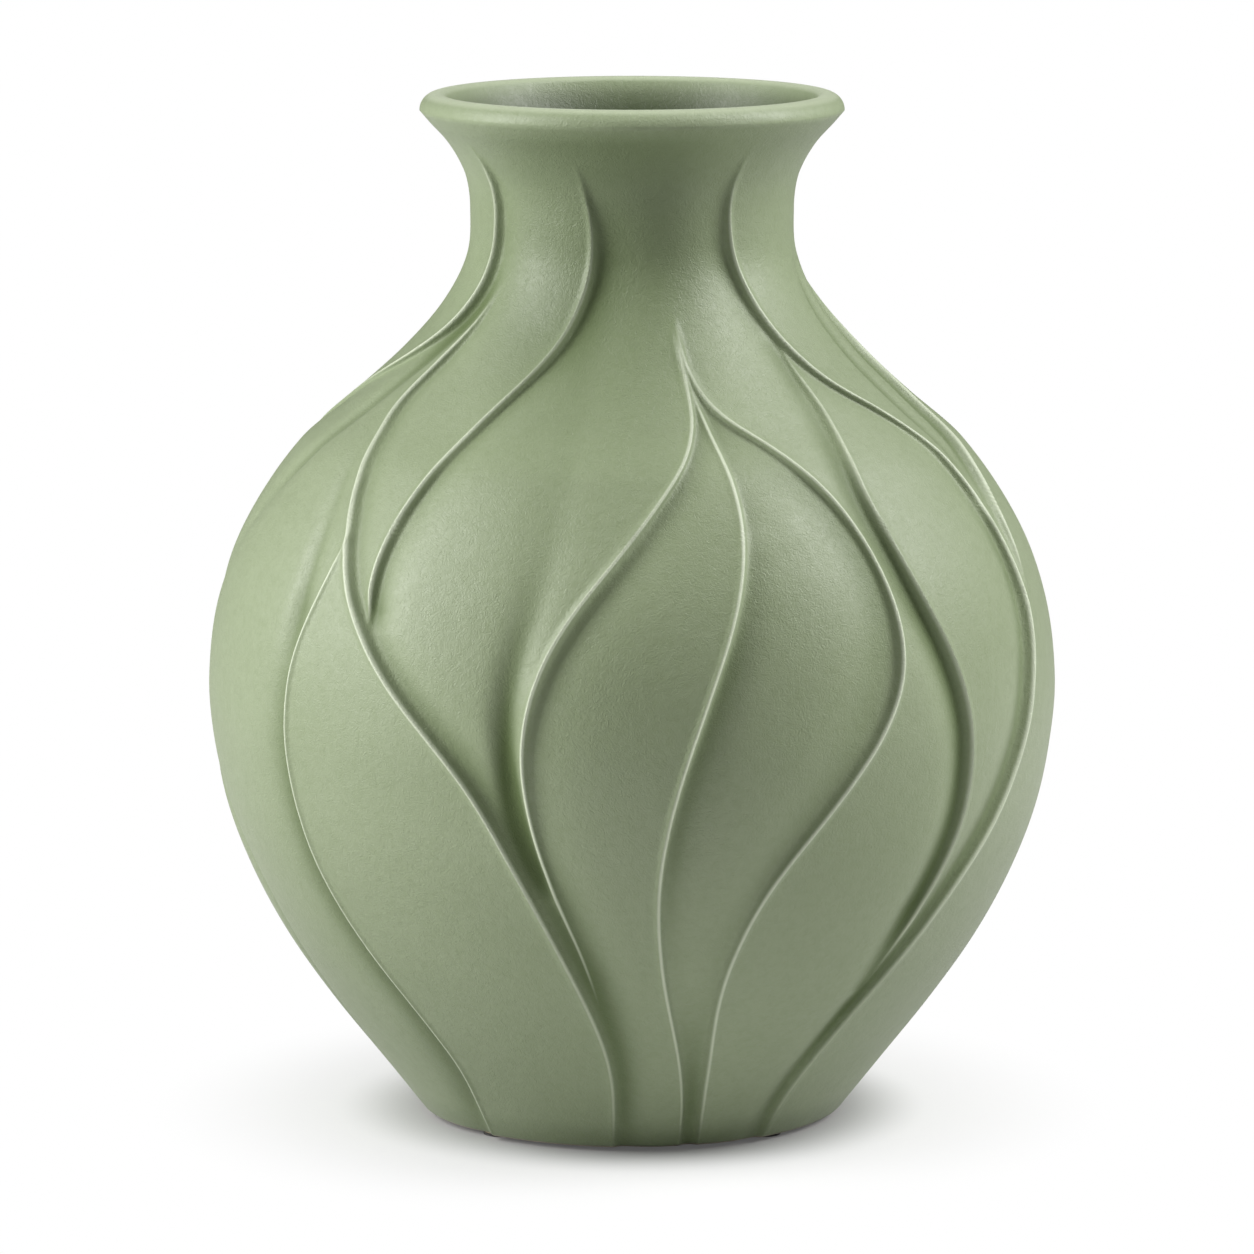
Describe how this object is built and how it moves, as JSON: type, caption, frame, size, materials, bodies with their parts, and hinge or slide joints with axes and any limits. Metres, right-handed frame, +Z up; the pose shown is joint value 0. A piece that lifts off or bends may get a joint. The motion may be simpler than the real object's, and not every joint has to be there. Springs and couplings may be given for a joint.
{
  "type": "bulb vase",
  "caption": "Squat bulbous vase with a waisted neck, a flared rolled lip and flowing leaf lines in relief, standing on felt pads.",
  "frame": {"origin": "on the vase's axis, in the plane under the felt pads that it stands on", "axes": "+Z up along the vase's axis; -Y towards the front, where the leaf's tip and middle rib show; +X to the right of the front"},
  "size_m": [0.2482, 0.2483, 0.3],
  "materials": {
    "satin_glaze": "satin sage-green glaze, darker in the grooves and paler on the crests, with a fine grain",
    "felt": "pressed charcoal felt",
    "adhesive": "clear amber adhesive film"
  },
  "bodies": {
    "root": {"vase_body": "satin_glaze", "felt_pad_1": "felt", "felt_pad_2": "felt", "felt_pad_3": "felt", "felt_pad_4": "felt", "pad_adhesive_1": "adhesive", "pad_adhesive_2": "adhesive", "pad_adhesive_3": "adhesive", "pad_adhesive_4": "adhesive"}
  },
  "joints": []
}
